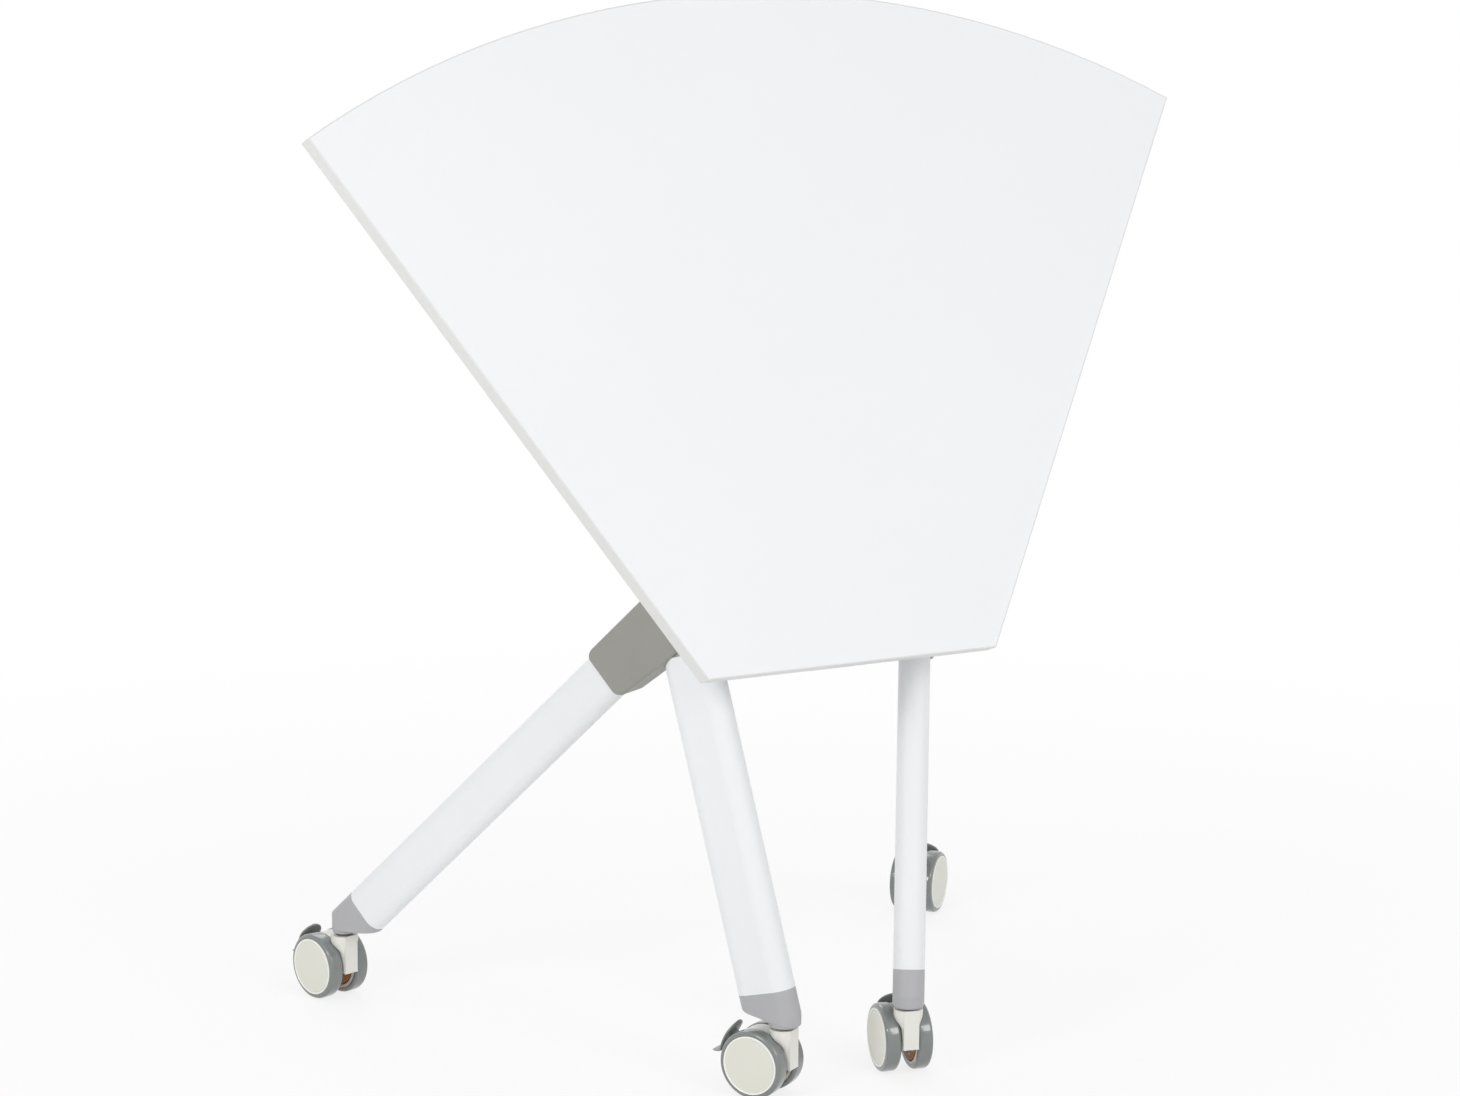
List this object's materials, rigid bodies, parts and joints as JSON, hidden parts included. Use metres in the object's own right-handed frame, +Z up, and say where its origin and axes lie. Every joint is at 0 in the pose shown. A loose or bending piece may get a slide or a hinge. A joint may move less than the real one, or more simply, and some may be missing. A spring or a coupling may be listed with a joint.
{
  "type": "folding desk",
  "caption": "Flip-top desk with a sector-shaped top that folds up for storage on two slanted leg sets, each on twin-wheel braked casters.",
  "frame": {"origin": "on the floor under the middle of the stored desk", "axes": "+X to the right of someone facing the inner edge, +Y to the rear, +Z up"},
  "size_m": [1.2, 0.718, 1.3347],
  "materials": {
    "board": "satin white laminate on a wood-based board",
    "edging": "satin edging",
    "leg_paint": "satin powder coat",
    "beam_paint": "satin powder coat",
    "casting": "as cast",
    "grey_plastic": "fine moulded texture",
    "cream_plastic": "moulded gloss",
    "brake_brown": "moulded",
    "pedal_plastic": "moulded gloss",
    "tread": "soft glossy tread",
    "nylon": "natural nylon",
    "zinc": "zinc plated"
  },
  "bodies": {
    "frame": {"front_leg_left": "leg_paint", "front_leg_right": "leg_paint", "rear_leg_left": "leg_paint", "rear_leg_right": "leg_paint", "front_foot_cap_left": "grey_plastic", "front_foot_cap_right": "grey_plastic", "rear_foot_cap_left": "grey_plastic", "rear_foot_cap_right": "grey_plastic", "apex_hub_left": "casting", "apex_hub_right": "casting", "hinge_cover_outer_left": "grey_plastic", "hinge_cover_outer_right": "grey_plastic", "hinge_cover_inner_left": "grey_plastic", "hinge_cover_inner_right": "grey_plastic", "cover_screws": "zinc", "cross_beam": "beam_paint", "lock_plates": "zinc", "caster_stems": "zinc"},
    "top": {"desktop_board": "board", "edge_band": "edging", "top_bracket_left": "beam_paint", "top_bracket_right": "beam_paint", "pivot_bushes": "nylon", "top_screws": "zinc", "latch_springs": "zinc"},
    "latch": {"latch_shaft": "zinc", "latch_pawls": "zinc", "latch_lever": "grey_plastic"},
    "front_left_swivel": {"front_left_caster_housing": "cream_plastic", "front_left_caster_axle": "zinc", "front_left_caster_brake_hub": "brake_brown"},
    "front_left_wheel_left": {"front_left_caster_wheel_left": "cream_plastic", "front_left_caster_tread_left": "tread"},
    "front_left_wheel_right": {"front_left_caster_wheel_right": "cream_plastic", "front_left_caster_tread_right": "tread"},
    "front_left_pedal": {"front_left_caster_pedal": "pedal_plastic"},
    "front_right_swivel": {"front_right_caster_housing": "cream_plastic", "front_right_caster_axle": "zinc", "front_right_caster_brake_hub": "brake_brown"},
    "front_right_wheel_left": {"front_right_caster_wheel_left": "cream_plastic", "front_right_caster_tread_left": "tread"},
    "front_right_wheel_right": {"front_right_caster_wheel_right": "cream_plastic", "front_right_caster_tread_right": "tread"},
    "front_right_pedal": {"front_right_caster_pedal": "pedal_plastic"},
    "rear_left_swivel": {"rear_left_caster_housing": "cream_plastic", "rear_left_caster_axle": "zinc", "rear_left_caster_brake_hub": "brake_brown"},
    "rear_left_wheel_left": {"rear_left_caster_wheel_left": "cream_plastic", "rear_left_caster_tread_left": "tread"},
    "rear_left_wheel_right": {"rear_left_caster_wheel_right": "cream_plastic", "rear_left_caster_tread_right": "tread"},
    "rear_left_pedal": {"rear_left_caster_pedal": "pedal_plastic"},
    "rear_right_swivel": {"rear_right_caster_housing": "cream_plastic", "rear_right_caster_axle": "zinc", "rear_right_caster_brake_hub": "brake_brown"},
    "rear_right_wheel_left": {"rear_right_caster_wheel_left": "cream_plastic", "rear_right_caster_tread_left": "tread"},
    "rear_right_wheel_right": {"rear_right_caster_wheel_right": "cream_plastic", "rear_right_caster_tread_right": "tread"},
    "rear_right_pedal": {"rear_right_caster_pedal": "pedal_plastic"}
  },
  "joints": [
    {"name": "top_flip", "type": "hinge", "parent": "frame", "child": "top", "pos_m": [0, -0.1954, 0.606], "axis": [1, 0, 0], "range_deg": [-67.7, 0]},
    {"name": "latch_turn", "type": "hinge", "parent": "top", "child": "latch", "pos_m": [0, -0.25484, 0.56121], "axis": [1, 0, 0], "range_deg": [0, 17], "stiffness_Nm_per_rad": 1, "springref_deg": 17},
    {"name": "front_left_swivel_turn", "type": "hinge", "parent": "frame", "child": "front_left_swivel", "pos_m": [-0.088, -0.3305, 0.09], "axis": [0, 0, 1], "continuous": true},
    {"name": "front_left_wheel_left_spin", "type": "hinge", "parent": "front_left_swivel", "child": "front_left_wheel_left", "pos_m": [-0.10443, -0.30421, 0.0435], "axis": [-0.848, -0.5299, 0], "continuous": true},
    {"name": "front_left_wheel_right_spin", "type": "hinge", "parent": "front_left_swivel", "child": "front_left_wheel_right", "pos_m": [-0.10443, -0.30421, 0.0435], "axis": [-0.848, -0.5299, 0], "continuous": true},
    {"name": "front_left_pedal_rock", "type": "hinge", "parent": "front_left_swivel", "child": "front_left_pedal", "pos_m": [-0.11821, -0.28216, 0.06038], "axis": [-0.848, -0.5299, 0], "range_deg": [0, 14]},
    {"name": "front_right_swivel_turn", "type": "hinge", "parent": "frame", "child": "front_right_swivel", "pos_m": [0.088, -0.3305, 0.09], "axis": [0, 0, 1], "continuous": true},
    {"name": "front_right_wheel_left_spin", "type": "hinge", "parent": "front_right_swivel", "child": "front_right_wheel_left", "pos_m": [0.09391, -0.30007, 0.0435], "axis": [-0.9816, 0.1908, 0], "continuous": true},
    {"name": "front_right_wheel_right_spin", "type": "hinge", "parent": "front_right_swivel", "child": "front_right_wheel_right", "pos_m": [0.09391, -0.30007, 0.0435], "axis": [-0.9816, 0.1908, 0], "continuous": true},
    {"name": "front_right_pedal_rock", "type": "hinge", "parent": "front_right_swivel", "child": "front_right_pedal", "pos_m": [0.09888, -0.27455, 0.06038], "axis": [-0.9816, 0.1908, 0], "range_deg": [0, 14]},
    {"name": "rear_left_swivel_turn", "type": "hinge", "parent": "frame", "child": "rear_left_swivel", "pos_m": [-0.432, 0.26533, 0.09], "axis": [0, 0, 1], "continuous": true},
    {"name": "rear_left_wheel_left_spin", "type": "hinge", "parent": "rear_left_swivel", "child": "rear_left_wheel_left", "pos_m": [-0.4408, 0.29506, 0.0435], "axis": [-0.9588, -0.284, 0], "continuous": true},
    {"name": "rear_left_wheel_right_spin", "type": "hinge", "parent": "rear_left_swivel", "child": "rear_left_wheel_right", "pos_m": [-0.4408, 0.29506, 0.0435], "axis": [-0.9588, -0.284, 0], "continuous": true},
    {"name": "rear_left_pedal_rock", "type": "hinge", "parent": "rear_left_swivel", "child": "rear_left_pedal", "pos_m": [-0.44819, 0.31999, 0.06038], "axis": [-0.9588, -0.284, 0], "range_deg": [0, 14]},
    {"name": "rear_right_swivel_turn", "type": "hinge", "parent": "frame", "child": "rear_right_swivel", "pos_m": [0.432, 0.26533, 0.09], "axis": [0, 0, 1], "continuous": true},
    {"name": "rear_right_wheel_left_spin", "type": "hinge", "parent": "rear_right_swivel", "child": "rear_right_wheel_left", "pos_m": [0.45467, 0.28648, 0.0435], "axis": [-0.682, 0.7314, 0], "continuous": true},
    {"name": "rear_right_wheel_right_spin", "type": "hinge", "parent": "rear_right_swivel", "child": "rear_right_wheel_right", "pos_m": [0.45467, 0.28648, 0.0435], "axis": [-0.682, 0.7314, 0], "continuous": true},
    {"name": "rear_right_pedal_rock", "type": "hinge", "parent": "rear_right_swivel", "child": "rear_right_pedal", "pos_m": [0.47369, 0.30421, 0.06038], "axis": [-0.682, 0.7314, 0], "range_deg": [0, 14]}
  ]
}
